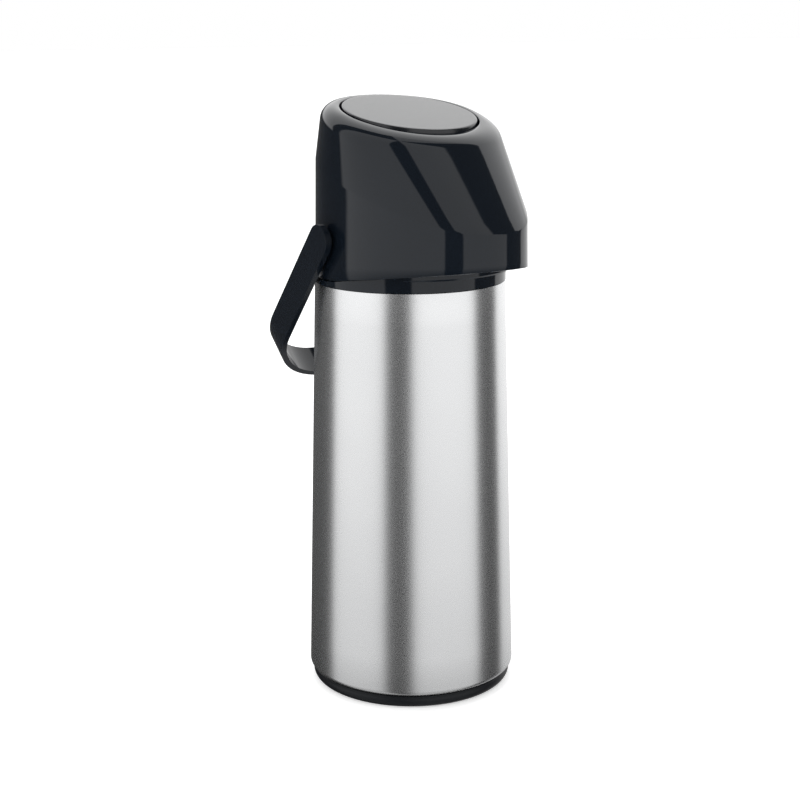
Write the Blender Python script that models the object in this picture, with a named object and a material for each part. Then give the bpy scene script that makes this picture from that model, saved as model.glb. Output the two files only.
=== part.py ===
"""Pump pot of about one litre: a glass flask in a conical steel skin, with a hinged pump head and a bail.

Frame: origin on the floor at the flask's axis, +Z up, the spout points to -Y and the hinge is at +Y.
Run with: blender --background --python part.py
"""

from math import acos, asin, copysign, cos, pi, radians, sin, sqrt, tan

import bmesh
import bpy
from mathutils import Vector

MM = 0.001
GAP = 0.3 * MM  # play between pieces that touch

# Steel skin and foot
SKIN_TOP_Z = 226.8 * MM
SKIN_TOP_RADIUS = 51.6 * MM
SKIN_FOOT_Z = 7.4 * MM
SKIN_FOOT_RADIUS = 57.5 * MM
SKIN_WALL = 0.5 * MM
SKIN_ROLL = 3.0 * MM
SKIN_LIP_RADIUS = 54.3 * MM
FOOT_RADIUS = 51.2 * MM
FOOT_BORE_RADIUS = 40.3 * MM
FOOT_RECESS_RADIUS = 47.0 * MM

# Glass flask
GLASS_RADIUS = 48.6 * MM
GLASS_WALL = 1.4 * MM
VACUUM_GAP = 3.0 * MM
GLASS_SIDE_Z = (38.0 * MM, 188.0 * MM)
GLASS_DOME = 20.0 * MM
GLASS_SHOULDER = 22.0 * MM
GLASS_LIP_Z = 222.5 * MM
NECK_BORE_RADIUS = 19.3 * MM
TIP_OFF_RADIUS = 2.5 * MM

# Collar between the skin and the head
COLLAR_RADIUS = 52.0 * MM
COLLAR_RIM_RADIUS = 48.6 * MM
COLLAR_RIM_Z = 237.2 * MM
DECK_Z = 229.0 * MM
DECK_BORE_RADIUS = 20.5 * MM

# Stopper, its ball and the dip tube
PLUG_RADIUS = 18.3 * MM
PLUG_Z = (208.0 * MM, 233.3 * MM)
STOPPER_FLANGE_RADIUS = 27.0 * MM
TUBE_RADIUS = 3.5 * MM
TUBE_BORE = 2.7 * MM
TUBE_Z = (30.0 * MM, 221.7 * MM)
BALL_RADIUS = 3.4 * MM
BALL_SEAT_Z = 223.5 * MM
BALL_SEAT_RADIUS = 2.6 * MM
AIR_HOLE_Y = 12.6 * MM
AIR_HOLE_RADIUS = 3.1 * MM
SEAL_Z = (233.6 * MM, 235.3 * MM)

# Head: plan of the hood, as a back circle, two side arcs and a nose arc that touch each other
HOOD_BACK_RADIUS = 51.3 * MM
HOOD_SIDE_RADIUS = 115.0 * MM
HOOD_SIDE_ARC = radians(37.7)
CROWN_RADIUS = 46.9 * MM
HOOD_WALL = 2.0 * MM
HOOD_DRAFT = tan(radians(1.0))
HOOD_EDGE_Z = 230.2 * MM
HOOD_EDGE_RISE = 0.14
HOOD_EDGE_START_Y = -3.0 * MM
CREASE_Z = 284.7 * MM
CREASE_RISE = 0.30
CROWN_Z = 315.7 * MM
CROWN_TILT = radians(13.5)
CROWN_SAG = 1.0  # per metre, behind the axis
CROWN_ROUNDING = (7.0 * MM, 16.0 * MM)  # at the back, at the front
SLEEVE_WALL = 1.8 * MM
SLEEVE_FOOT_Z = 297.0 * MM

# Push button and pump
BUTTON_RADIUS = 36.2 * MM
BUTTON_GAP = 1.3 * MM
BUTTON_TILT = radians(12.0)
BUTTON_Z = 316.3 * MM
BUTTON_WALL = 1.8 * MM
BUTTON_FOOT_Z = 290.0 * MM
PLATE_RADIUS = 33.3 * MM
PLATE_Z = (300.4 * MM, 302.6 * MM)
BELLOWS_Z = (258.3 * MM, 300.1 * MM)
BELLOWS_RADIUS = 27.0 * MM
BELLOWS_FOLDS = 6
SPRING_RADIUS = 9.0 * MM
SPRING_WIRE = 0.8 * MM
SPRING_TURNS = 6
CARRIER_Z = (255.5 * MM, 258.0 * MM)
BOSS_TOP_Z = 272.0 * MM
BOSS_RADIUS = 4.5 * MM
BOSS_INSET = 6.0 * MM

# Spout
PIPE_RADIUS = 4.2 * MM
PIPE_BORE = 3.0 * MM
PIPE_Z = 250.6 * MM
PIPE_FRONT_Y = -70.0 * MM
NOZZLE_RADIUS = 6.0 * MM
NOZZLE_Z = (240.2 * MM, 248.0 * MM)

# Hinge at the back, latch at the front
HINGE_Y = 53.0 * MM
HINGE_Z = 233.4 * MM
KNUCKLE_RADIUS = 3.2 * MM
HINGE_PIN_RADIUS = 1.5 * MM
LATCH_Y = -58.0 * MM
LATCH_Z = 249.0 * MM
LATCH_RADII = (52.5 * MM, 55.3 * MM)
LATCH_FOOT_Z = 233.5 * MM
LATCH_SPAN = radians(36.0)
LATCH_STUB = 1.5 * MM

# Bail
BAIL_PIVOT_Z = 251.3 * MM
BAIL_LEAN = radians(41.0)  # from straight down towards the back
BAIL_HALF_SPAN = 57.2 * MM
BAIL_THICKNESS = 3.2 * MM
BAIL_HALF_WIDTH = 8.9 * MM
BAIL_LENGTH = 108.0 * MM
BAIL_CORNER = 39.5 * MM
EAR_X = (51.7 * MM, 53.7 * MM)
EAR_RADIUS = 6.0 * MM
EAR_HOLE = 3.3 * MM
BAIL_STUB = 3.0 * MM


# ---------------------------------------------------------------- helpers


def material(name, colour, roughness, metallic=0.0, transmission=0.0):
    found = bpy.data.materials.get(name)
    if found:
        return found
    made = bpy.data.materials.new(name)
    made.use_nodes = True
    shader = made.node_tree.nodes["Principled BSDF"]
    shader.inputs["Base Color"].default_value = (*colour, 1.0)
    shader.inputs["Roughness"].default_value = roughness
    shader.inputs["Metallic"].default_value = metallic
    shader.inputs["Transmission Weight"].default_value = transmission
    return made


def steel():
    return material("brushed_steel", (0.62, 0.62, 0.63), 0.32, 1.0)


def gloss_black():
    return material("gloss_black", (0.012, 0.014, 0.018), 0.12)


def matte_black():
    return material("matte_black", (0.02, 0.022, 0.026), 0.5)


def satin_top():
    return material("satin_top", (0.03, 0.032, 0.036), 0.35)


def clear_glass():
    return material("silvered_glass", (0.8, 0.82, 0.84), 0.05, 0.6)


def rubber():
    return material("grey_rubber", (0.16, 0.16, 0.16), 0.8)


def white_plastic():
    return material("white_plastic", (0.78, 0.78, 0.76), 0.4)


def bright_wire():
    return material("bright_wire", (0.7, 0.7, 0.7), 0.2, 1.0)


def finish(name, bm, look, smooth_angle=35.0):
    """Turn a bmesh into a named object with outward faces and smooth round sides."""
    bmesh.ops.remove_doubles(bm, verts=bm.verts, dist=1e-7)
    bmesh.ops.recalc_face_normals(bm, faces=bm.faces)
    mesh = bpy.data.meshes.new(name)
    bm.to_mesh(mesh)
    bm.free()
    mesh.materials.append(look)
    mesh.shade_smooth()
    mesh.set_sharp_from_angle(angle=radians(smooth_angle))
    made = bpy.data.objects.new(name, mesh)
    bpy.context.scene.collection.objects.link(made)
    return made


def turned(name, profile, look, segments=48, centre=(0.0, 0.0)):
    """Turn (radius, z) points about a vertical axis; a profile off the axis is closed round."""
    bm = bmesh.new()
    points = [bm.verts.new((radius, 0.0, z)) for radius, z in profile]
    edges = [bm.edges.new(pair) for pair in zip(points, points[1:])]
    if profile[0][0] > 0.0:
        edges.append(bm.edges.new((points[-1], points[0])))
    bmesh.ops.spin(
        bm, geom=points + edges, cent=(0, 0, 0), axis=(0, 0, 1), angle=2 * pi, steps=segments, use_merge=True
    )
    bmesh.ops.translate(bm, verts=bm.verts, vec=(centre[0], centre[1], 0.0))
    return finish(name, bm, look)


def ring(name, radii, heights, look, segments=32, centre=(0.0, 0.0)):
    (inner, outer), (low, high) = radii, heights
    return turned(name, [(outer, high), (outer, low), (inner, low), (inner, high)], look, segments, centre)


def loops(name, rings, look, closed=False, smooth_angle=35.0):
    """Skin rings of equally many points; closed joins last to first, otherwise the ends are capped."""
    bm = bmesh.new()
    rows = [[bm.verts.new(point) for point in row] for row in rings]
    pairs = list(zip(rows, rows[1:]))
    if closed:
        pairs.append((rows[-1], rows[0]))
    count = len(rows[0])
    for low, high in pairs:
        for i in range(count):
            j = (i + 1) % count
            bm.faces.new((low[i], low[j], high[j], high[i]))
    if not closed:
        bm.faces.new(rows[0])
        bm.faces.new(rows[-1])
    return finish(name, bm, look, smooth_angle)


def block(name, xs, ys, zs, look=None):
    corners = [(xs[0], ys[0]), (xs[1], ys[0]), (xs[1], ys[1]), (xs[0], ys[1])]
    rows = [[Vector((x, y, z)) for x, y in corners] for z in zs]
    return loops(name, rows, look or matte_black())


def rod(name, radius, start, end, look=None, segments=24):
    """Round rod between two points."""
    start, end = Vector(start), Vector(end)
    across = (end - start).orthogonal().normalized()
    other = (end - start).normalized().cross(across)
    circle = [radius * (cos(a) * across + sin(a) * other) for a in turns(segments)]
    rings = [[point + offset for offset in circle] for point in (start, end)]
    return loops(name, rings, look or matte_black())


def turns(count):
    return [2 * pi * i / count for i in range(count)]


def arc(centre, radii, start, end, steps):
    """Points of an ellipse arc in the (radius, z) plane."""
    (cr, cz), (ar, az) = centre, radii
    angles = [start + (end - start) * i / steps for i in range(steps + 1)]
    return [(cr + ar * cos(a), cz + az * sin(a)) for a in angles]


def boolean(target, tool, operation):
    """Join or cut with a helper object that stays out of the render."""
    modifier = target.modifiers.new(f"{operation.lower()}_{tool.name}", "BOOLEAN")
    modifier.operation = operation
    modifier.solver = "EXACT"
    modifier.object = tool
    tool.hide_render = True
    tool.display_type = "WIRE"


def fuse(target, *tools):
    for tool in tools:
        boolean(target, tool, "UNION")


def cut(target, *tools):
    for tool in tools:
        boolean(target, tool, "DIFFERENCE")


def at_pivot(obj, pivot):
    """Move the object's origin onto its joint without moving its shape."""
    offset = Vector(pivot)
    for vertex in obj.data.vertices:
        vertex.co -= offset
    obj.location = offset


def swept_tube(name, path, outer_radii, bore, look, sides=12):
    """Hollow pipe in the YZ plane, with one outer radius for each point of the path."""
    sideways = Vector((1, 0, 0))
    walls = []
    for wall_radii in (outer_radii, [bore] * len(path)):
        rows = []
        for i, point in enumerate(path):
            ahead = path[min(i + 1, len(path) - 1)]
            behind = path[max(i - 1, 0)]
            across = sideways.cross((ahead - behind).normalized())
            around = [cos(a) * sideways + sin(a) * across for a in turns(sides)]
            rows.append([point + wall_radii[i] * out for out in around])
        walls.append(rows)
    return loops(name, walls[0] + walls[1][::-1], look, closed=True)


def coil(name, radius, wire, low, high, coils, look, axis="Z", centre=(0, 0, 0), steps=12, sides=6):
    """Open coil of round wire along Z, or along X when axis says so."""
    rows = []
    for i in range(int(coils * steps) + 1):
        angle = 2 * pi * i / steps
        height = low + (high - low) * angle / (2 * pi * coils)
        outward = Vector((cos(angle), sin(angle), 0))
        row = [
            outward * (radius + wire * cos(a)) + Vector((0, 0, height + wire * sin(a)))
            for a in turns(sides)
        ]
        if axis == "X":
            row = [Vector((p.z, p.x, p.y)) for p in row]
        rows.append([p + Vector(centre) for p in row])
    return loops(name, rows, look)


# ---------------------------------------------------------------- plan and heights of the head


def hood_plan(angle, inset=0.0):
    """Point of the hood's outline whose outward normal has this angle from +X, moved in by inset."""
    back, side, side_arc = HOOD_BACK_RADIUS, HOOD_SIDE_RADIUS, HOOD_SIDE_ARC
    nose = (back - side * (1 - cos(side_arc))) / cos(side_arc)
    nose_centre = (side - nose) * sin(side_arc)
    normal = Vector((cos(angle), sin(angle)))
    turn = asin(min(1.0, max(0.0, -normal.y)))
    if normal.y >= 0:
        return normal * (back - inset)
    if turn <= side_arc:
        return Vector((copysign(side - back, -normal.x), 0.0)) + normal * (side - inset)
    return Vector((0.0, -nose_centre)) + normal * (nose - inset)


def crown_plan(angle):
    """Rim of the crown, a circle in the tilted top."""
    return Vector((CROWN_RADIUS * cos(angle), CROWN_RADIUS * cos(CROWN_TILT) * sin(angle)))


def crown_rounding(angle):
    back, front = CROWN_ROUNDING
    return back + (front - back) * ((1 - sin(angle)) / 2) ** 2


def edge_z(y):
    """Lower edge of the hood: level at the back, rising to the nose."""
    return HOOD_EDGE_Z + HOOD_EDGE_RISE * max(0.0, HOOD_EDGE_START_Y - y)


def crease_z(y):
    return CREASE_Z + CREASE_RISE * y


def crown_z(y):
    """Top of the head: a tilted plane that droops a little towards the back."""
    return CROWN_Z + tan(CROWN_TILT) * y - CROWN_SAG * max(0.0, y) ** 2


def button_ring(radius, count, height):
    """Ring that is round in the tilted top; height gives z from y."""
    rows = []
    for angle in turns(count):
        x, y = radius * cos(angle), radius * cos(CROWN_TILT) * sin(angle)
        rows.append(Vector((x, y, height(y))))
    return rows


# ---------------------------------------------------------------- flask and foot


def skin_radius(z):
    share = (z - SKIN_FOOT_Z) / (SKIN_TOP_Z - SKIN_FOOT_Z)
    return SKIN_FOOT_RADIUS + share * (SKIN_TOP_RADIUS - SKIN_FOOT_RADIUS)


def make_outer_shell():
    bend_z = SKIN_FOOT_Z + SKIN_ROLL
    outside = skin_radius(bend_z)
    centre = (outside - SKIN_ROLL, bend_z)
    inner_roll = SKIN_ROLL - SKIN_WALL
    middle = (SKIN_TOP_Z + bend_z) / 2
    profile = [(SKIN_TOP_RADIUS, SKIN_TOP_Z), (skin_radius(middle), middle)]
    profile += arc(centre, (SKIN_ROLL, SKIN_ROLL), 0, -pi / 2, 4)
    profile += [(SKIN_LIP_RADIUS, SKIN_FOOT_Z), (SKIN_LIP_RADIUS, SKIN_FOOT_Z + SKIN_WALL)]
    profile += arc(centre, (inner_roll, inner_roll), -pi / 2, 0, 3)
    profile += [(skin_radius(middle) - SKIN_WALL, middle), (SKIN_TOP_RADIUS - SKIN_WALL, SKIN_TOP_Z)]
    return turned("outer_shell", profile, steel(), 60)


def make_base_ring():
    lip_under, lip_over = SKIN_FOOT_Z - GAP, SKIN_FOOT_Z + SKIN_WALL + GAP
    shoulder, neck = 55.6 * MM, SKIN_LIP_RADIUS - 0.4 * MM
    hook = 55.0 * MM
    profile = [(hook - MM, 11 * MM), (hook, 10 * MM), (hook, lip_over), (neck, lip_over), (neck, lip_under)]
    profile += [(shoulder, lip_under), (54.9 * MM, 4.0 * MM), (53.2 * MM, 1.2 * MM), (FOOT_RADIUS, 0.0)]
    profile += [(FOOT_RECESS_RADIUS, 0.0), (FOOT_RECESS_RADIUS, 3 * MM), (FOOT_BORE_RADIUS, 3 * MM)]
    profile += [(FOOT_BORE_RADIUS, 18 * MM), (42.5 * MM, 18 * MM), (42.5 * MM, 11 * MM)]
    return turned("base_ring", profile, matte_black(), 48)


def make_base_cap():
    wall_out, wall_in = FOOT_BORE_RADIUS - GAP, 37.5 * MM
    rim = FOOT_RECESS_RADIUS - 0.5 * MM
    profile = [(0.0, 4 * MM), (wall_in, 4 * MM), (wall_in, 16 * MM), (wall_out, 16 * MM)]
    profile += [(wall_out, 2.7 * MM), (rim, 2.7 * MM), (rim, 0.0), (0.0, 0.0)]
    cap = turned("base_cap", profile, matte_black(), 40)
    for side in (-1, 1):
        pocket = block(
            f"cut_grip_{side}",
            sorted((side * 20 * MM, side * 29 * MM)),
            (-12 * MM, 12 * MM),
            (-1 * MM, 1.6 * MM),
        )
        cut(cap, pocket)


def glass_side(radius, dome, shoulder, neck, start_radius=0.0):
    """Outline of one glass wall from the bottom up to the lip, as (radius, z) points."""
    low, high = GLASS_SIDE_Z
    start = -pi / 2 if start_radius == 0.0 else -acos(start_radius / radius)
    flare = 1.5 * MM
    points = arc((0.0, low), (radius, dome), start, 0, 4)
    if start_radius == 0.0:
        points[0] = (0.0, low - dome)
    points += arc((neck + flare, high), (radius - neck - flare, shoulder), 0, pi / 2, 4)
    points += [(neck, high + shoulder + flare), (neck, GLASS_LIP_Z - 2 * MM)]
    return points


def make_glass_refill():
    wall, step = GLASS_WALL, GLASS_WALL + VACUUM_GAP
    neck_gap = 1.0 * MM
    inside = glass_side(GLASS_RADIUS - step - wall, GLASS_DOME - step - wall, 20.5 * MM, NECK_BORE_RADIUS)
    inner = glass_side(GLASS_RADIUS - step, GLASS_DOME - step, 21.0 * MM, NECK_BORE_RADIUS + wall)
    neck = NECK_BORE_RADIUS + 2 * wall + neck_gap
    outer = glass_side(GLASS_RADIUS - wall, GLASS_DOME - wall, 21.5 * MM, neck - wall, TIP_OFF_RADIUS)
    outside = glass_side(GLASS_RADIUS, GLASS_DOME, GLASS_SHOULDER, neck, TIP_OFF_RADIUS)
    lip = (NECK_BORE_RADIUS + neck) / 2
    crest = [(NECK_BORE_RADIUS + 0.5 * MM, GLASS_LIP_Z - 0.6 * MM), (lip, GLASS_LIP_Z)]
    crest.append((neck - 0.5 * MM, GLASS_LIP_Z - 0.6 * MM))
    profile = inside + crest + outside[::-1] + outer + inner[::-1]
    return turned("glass_refill", profile, clear_glass(), 28)


def make_refill_cushion():
    low, dome = GLASS_SIDE_Z[0], GLASS_DOME
    inner, outer, foot = 11 * MM, 32 * MM, 4.3 * MM
    steps = 5
    seat = []
    for i in range(steps + 1):
        radius = inner + (outer - inner) * i / steps
        seat.append((radius, low - dome * sqrt(1 - (radius / GLASS_RADIUS) ** 2) - GAP))
    return turned("refill_cushion", seat + [(outer, foot), (inner, foot)], rubber(), 28)


def make_flask_seals():
    ring("neck_gasket", (18.9 * MM, 24.5 * MM), (GLASS_LIP_Z + GAP, DECK_Z - 3.3 * MM), rubber())
    ring("stopper_gasket", (18.7 * MM, 26.0 * MM), (DECK_Z + GAP, PLUG_Z[1] - 2.3 * MM), rubber())
    ring("pipe_gasket", (3.4 * MM, 6.3 * MM), SEAL_Z, rubber(), 24)
    ring("air_gasket", (AIR_HOLE_RADIUS, 5.6 * MM), SEAL_Z, rubber(), 24, (0.0, AIR_HOLE_Y))


# ---------------------------------------------------------------- collar


def make_collar():
    """Shoulder ring whose outer top follows the hood's lower edge, with ears, knuckles and a neck deck."""
    step_z = HOOD_EDGE_Z - GAP
    outer, rim = COLLAR_RADIUS, COLLAR_RIM_RADIUS
    skirt = SKIN_TOP_RADIUS - SKIN_WALL - 0.4 * MM
    wall = 2.0 * MM
    profile = [(rim, COLLAR_RIM_Z), (rim, step_z), (outer, step_z), (outer, SKIN_TOP_Z + GAP)]
    profile += [(skirt, SKIN_TOP_Z + GAP), (skirt, 216 * MM), (skirt - wall, 216 * MM)]
    profile += [(skirt - wall, DECK_Z - 3 * MM), (DECK_BORE_RADIUS, DECK_Z - 3 * MM)]
    profile += [(DECK_BORE_RADIUS, DECK_Z), (rim - wall, DECK_Z), (rim - wall, COLLAR_RIM_Z)]
    collar = turned("collar", profile, gloss_black(), 60)
    for vertex in collar.data.vertices:
        if abs(vertex.co.z - step_z) < 1e-5:
            vertex.co.z = edge_z(vertex.co.y) - GAP
    for side in (-1, 1):
        fuse(collar, make_ear(side), make_ear_foot(side), *make_collar_knuckle(side))
        span = (EAR_X[0] - MM, EAR_X[1] + MM)
        ear_bore = rod(
            f"cut_ear_{side}", EAR_HOLE, (side * span[0], 0, BAIL_PIVOT_Z), (side * span[1], 0, BAIL_PIVOT_Z)
        )
        cut(collar, ear_bore)
    cut(collar, hinge_bore("cut_collar_hinge"))


def make_ear(side):
    """Flat arm beside the hood that carries the bail, leaning back behind the bail's own arm."""
    foot = Vector((20.0 * MM, 228.2 * MM))
    top = Vector((0.0, BAIL_PIVOT_Z))
    along = (foot - top).normalized()
    across = Vector((-along.y, along.x))
    outline = [foot + across * (EAR_RADIUS - MM), foot - across * (EAR_RADIUS - MM)]
    for i in range(13):
        angle = -pi / 2 + pi * i / 12
        outline.append(top + EAR_RADIUS * (sin(angle) * across - cos(angle) * along))
    rows = [[Vector((side * x, point.x, point.y)) for point in outline] for x in EAR_X]
    return loops(f"add_ear_{side}", rows, gloss_black())


def make_ear_foot(side):
    xs = sorted((side * 46.0 * MM, side * (EAR_X[1] - 0.05 * MM)))
    return block(f"add_ear_foot_{side}", xs, (15.5 * MM, 25.5 * MM), (227.4 * MM, 229.6 * MM))


def make_collar_knuckle(side):
    ends = (12.0 * MM, 22.0 * MM)
    barrel = rod(
        f"add_barrel_{side}",
        KNUCKLE_RADIUS,
        (side * ends[0], HINGE_Y, HINGE_Z),
        (side * ends[1], HINGE_Y, HINGE_Z),
    )
    xs = sorted((side * (ends[0] + 0.1 * MM), side * (ends[1] - 0.1 * MM)))
    web = block(f"add_web_{side}", xs, (46.0 * MM, 53.0 * MM), (228.0 * MM, 232.5 * MM))
    return barrel, web


def hinge_bore(name):
    reach = 30 * MM
    radius = HINGE_PIN_RADIUS + GAP
    return rod(name, radius, (-reach, HINGE_Y, HINGE_Z), (reach, HINGE_Y, HINGE_Z), segments=16)


def make_hinge_pin():
    reach = 22.5 * MM
    look = bright_wire()
    rod("hinge_pin", HINGE_PIN_RADIUS, (-reach, HINGE_Y, HINGE_Z), (reach, HINGE_Y, HINGE_Z), look, 16)


# ---------------------------------------------------------------- stopper and dip tube


def make_stopper():
    low, high = PLUG_Z
    under = high - 2 * MM
    chamber, outlet = 5.0 * MM, 3.2 * MM
    pocket_in, pocket_out, pocket_z = 7.0 * MM, 16.5 * MM, 227.0 * MM
    socket = TUBE_RADIUS + GAP
    profile = [(outlet, high), (STOPPER_FLANGE_RADIUS, high), (STOPPER_FLANGE_RADIUS, under)]
    profile += [(PLUG_RADIUS, under), (PLUG_RADIUS, low), (pocket_out, low), (pocket_out, pocket_z)]
    profile += [(pocket_in, pocket_z), (pocket_in, low), (socket, low), (socket, TUBE_Z[1] + GAP)]
    profile += [(BALL_SEAT_RADIUS, TUBE_Z[1] + GAP), (BALL_SEAT_RADIUS, BALL_SEAT_Z)]
    profile += [(chamber, BALL_SEAT_Z), (chamber, 231.0 * MM), (outlet, 231.0 * MM)]
    stopper = turned("stopper", profile, white_plastic(), 24)
    hole = rod(
        "cut_air_hole",
        AIR_HOLE_RADIUS,
        (0, AIR_HOLE_Y, pocket_z - MM),
        (0, AIR_HOLE_Y, high + MM),
        segments=24,
    )
    cut(stopper, hole)


def make_dip_tube():
    ring("dip_tube", (TUBE_BORE, TUBE_RADIUS), TUBE_Z, bright_wire(), 20)


def make_valve_ball():
    height = BALL_SEAT_Z + sqrt(BALL_RADIUS**2 - BALL_SEAT_RADIUS**2) + GAP
    centre = (0.0, 0.0, height)
    bm = bmesh.new()
    bmesh.ops.create_uvsphere(bm, u_segments=12, v_segments=8, radius=BALL_RADIUS)
    bmesh.ops.translate(bm, verts=bm.verts, vec=centre)
    ball = finish("valve_ball", bm, bright_wire(), 180)
    at_pivot(ball, centre)


# ---------------------------------------------------------------- head


def rounded_corner(side, corner, inward, radius, steps):
    """Arc of this radius that touches the lines from the corner to the two other points."""
    first, second = (side - corner).normalized(), (inward - corner).normalized()
    half = first.angle(second) / 2
    centre = corner + (first + second).normalized() * (radius / sin(half))
    reach = radius / tan(half)
    start, end = corner + first * reach - centre, corner + second * reach - centre
    sweep = start.angle(end)
    shares = [sweep * i / steps for i in range(steps + 1)]
    weights = [(sin(sweep - share) / sin(sweep), sin(share) / sin(sweep)) for share in shares]
    return [centre + start * a + end * b for a, b in weights]


def hood_column(angle):
    """Outside of the hood at one normal angle, from its lower edge to the button hole."""
    low, corner = hood_plan(angle), crown_plan(angle)
    foot = Vector((low.x, low.y, edge_z(low.y)))
    crease_inset = HOOD_DRAFT * (crease_z(low.y) - foot.z)
    fold = hood_plan(angle, crease_inset)
    crease = Vector((fold.x, fold.y, crease_z(fold.y)))
    top = Vector((corner.x, corner.y, crown_z(corner.y)))
    hole, sleeve = hole_points(angle)
    return [foot, crease] + rounded_corner(crease, top, hole, crown_rounding(angle), 5) + [sleeve, hole]


def hole_points(angle):
    """Edge of the button hole, and the point above the outside of its sleeve."""
    points = []
    for radius in (BUTTON_RADIUS + BUTTON_GAP, BUTTON_RADIUS + BUTTON_GAP + SLEEVE_WALL):
        x, y = radius * cos(angle), radius * cos(CROWN_TILT) * sin(angle)
        points.append(Vector((x, y, crown_z(y))))
    return points


def make_hood():
    """Shell of the head: its outside, the sleeve of the button hole, and the inside at a constant wall."""
    count = 80
    columns = [hood_column(angle) for angle in turns(count)]
    rows = len(columns[0])
    outside = [[columns[i][j] for i in range(count)] for j in range(rows)]
    inside = []
    for j in range(rows - 1):
        row = []
        for i in range(count):
            along = outside[j][(i + 1) % count] - outside[j][i - 1]
            upward = outside[j + 1][i] - outside[max(j - 1, 0)][i]
            inward = upward.cross(along).normalized()
            row.append(outside[j][i] + inward * HOOD_WALL)
        inside.append(row)
    inside[0] = [Vector((p.x, p.y, q.z)) for p, q in zip(inside[0], outside[0])]
    sleeve_in = [Vector((p.x, p.y, SLEEVE_FOOT_Z)) for p in outside[-1]]
    sleeve_out = [Vector((p.x, p.y, SLEEVE_FOOT_Z)) for p in outside[-2]]
    rings = outside + [sleeve_in, sleeve_out] + inside[::-1]
    hood = loops("hood", rings, gloss_black(), closed=True)
    cut(hood, block("cut_hinge_notch", (-23 * MM, 23 * MM), (44 * MM, 56 * MM), (226 * MM, 237.2 * MM)))
    fuse(hood, *make_hood_knuckle())
    cut(hood, hinge_bore("cut_hood_hinge"))
    for i, (x, y) in enumerate(boss_places()):
        low = CARRIER_Z[1] + GAP
        fuse(hood, rod(f"add_boss_{i}", BOSS_RADIUS, (x, y, low), (x, y, BOSS_TOP_Z), segments=20))
        cut(hood, rod(f"cut_boss_{i}", 1.4 * MM, (x, y, low - MM), (x, y, BOSS_TOP_Z - 3 * MM), segments=12))
    return hood


def make_hood_knuckle():
    reach = 11.6 * MM
    barrel = rod("add_hood_barrel", KNUCKLE_RADIUS, (-reach, HINGE_Y, HINGE_Z), (reach, HINGE_Y, HINGE_Z))
    web = block("add_hood_web", (-11.5 * MM, 11.5 * MM), (49.6 * MM, 53.4 * MM), (232.5 * MM, 241.0 * MM))
    return barrel, web


def boss_places():
    """Centres of the four screw bosses inside the hood wall."""
    places = []
    for angle in (radians(35), radians(145), radians(197), radians(343)):
        point = hood_plan(angle, BOSS_INSET + HOOD_DRAFT * 30 * MM)
        places.append((point.x, point.y))
    return places


def make_carrier():
    """Plate across the head that carries the bellows, the air duct and the latch lugs."""
    count = 56
    inset = HOOD_WALL + 0.9 * MM
    outline = [hood_plan(angle, inset) for angle in turns(count)]
    rows = [[Vector((p.x, p.y, z)) for p in outline] for z in CARRIER_Z]
    carrier = loops("pump_carrier", rows, white_plastic())
    duct = rod("add_duct", 5.2 * MM, (0, AIR_HOLE_Y, SEAL_Z[1] + GAP), (0, AIR_HOLE_Y, CARRIER_Z[0] + MM))
    fuse(carrier, duct)
    duct_bore = rod(
        "cut_duct",
        AIR_HOLE_RADIUS,
        (0, AIR_HOLE_Y, SEAL_Z[0]),
        (0, AIR_HOLE_Y, CARRIER_Z[1] + MM),
        segments=16,
    )
    cut(carrier, duct_bore)
    for side in (-1, 1):
        xs = sorted((side * 26.6 * MM, side * 29.2 * MM))
        ys = (LATCH_Y - 4 * MM, LATCH_Y + 4 * MM)
        lug = block(f"add_lug_{side}", xs, ys, (245.2 * MM, CARRIER_Z[0] + MM))
        fuse(carrier, lug)
        bore = rod(
            f"cut_lug_{side}",
            LATCH_STUB + GAP,
            (side * 25 * MM, LATCH_Y, LATCH_Z),
            (side * 31 * MM, LATCH_Y, LATCH_Z),
            segments=16,
        )
        cut(carrier, bore)
    for i, (x, y) in enumerate(boss_places()):
        hole = rod(f"cut_carrier_{i}", 1.5 * MM, (x, y, 250 * MM), (x, y, 262 * MM), segments=12)
        cut(carrier, hole)


def make_carrier_screws():
    head_low, head_high = CARRIER_Z[0] - 1.9 * MM, CARRIER_Z[0] - GAP
    tip = BOSS_TOP_Z - 4 * MM
    for i, centre in enumerate(boss_places()):
        profile = [(0.0, tip), (1.1 * MM, tip - MM), (1.1 * MM, head_high), (2.8 * MM, head_high)]
        profile += [(2.8 * MM, head_low + 0.5 * MM), (2.2 * MM, head_low), (0.0, head_low)]
        turned(f"carrier_screw_{i + 1}", profile, bright_wire(), 12, centre)


def make_spout_pipe():
    """Pipe from the stopper's outlet forward to the nose and down."""
    foot, bend = SEAL_Z[1] + GAP, 7.0 * MM
    path = [Vector((0, 0, foot)), Vector((0, 0, foot + 1.6 * MM)), Vector((0, 0, foot + 2.4 * MM))]
    steps = 6
    for i in range(steps + 1):
        angle = pi / 2 * i / steps
        path.append(Vector((0, -bend * (1 - cos(angle)), PIPE_Z - bend * (1 - sin(angle)))))
    for i in range(steps + 1):
        angle = pi / 2 * i / steps
        path.append(Vector((0, PIPE_FRONT_Y + bend * (1 - sin(angle)), PIPE_Z - bend * (1 - cos(angle)))))
    path.append(Vector((0, PIPE_FRONT_Y, NOZZLE_Z[0] + 2 * MM)))
    radii = [6.0 * MM, 6.0 * MM] + [PIPE_RADIUS] * (len(path) - 2)
    swept_tube("spout_pipe", path, radii, PIPE_BORE, white_plastic())


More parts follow.
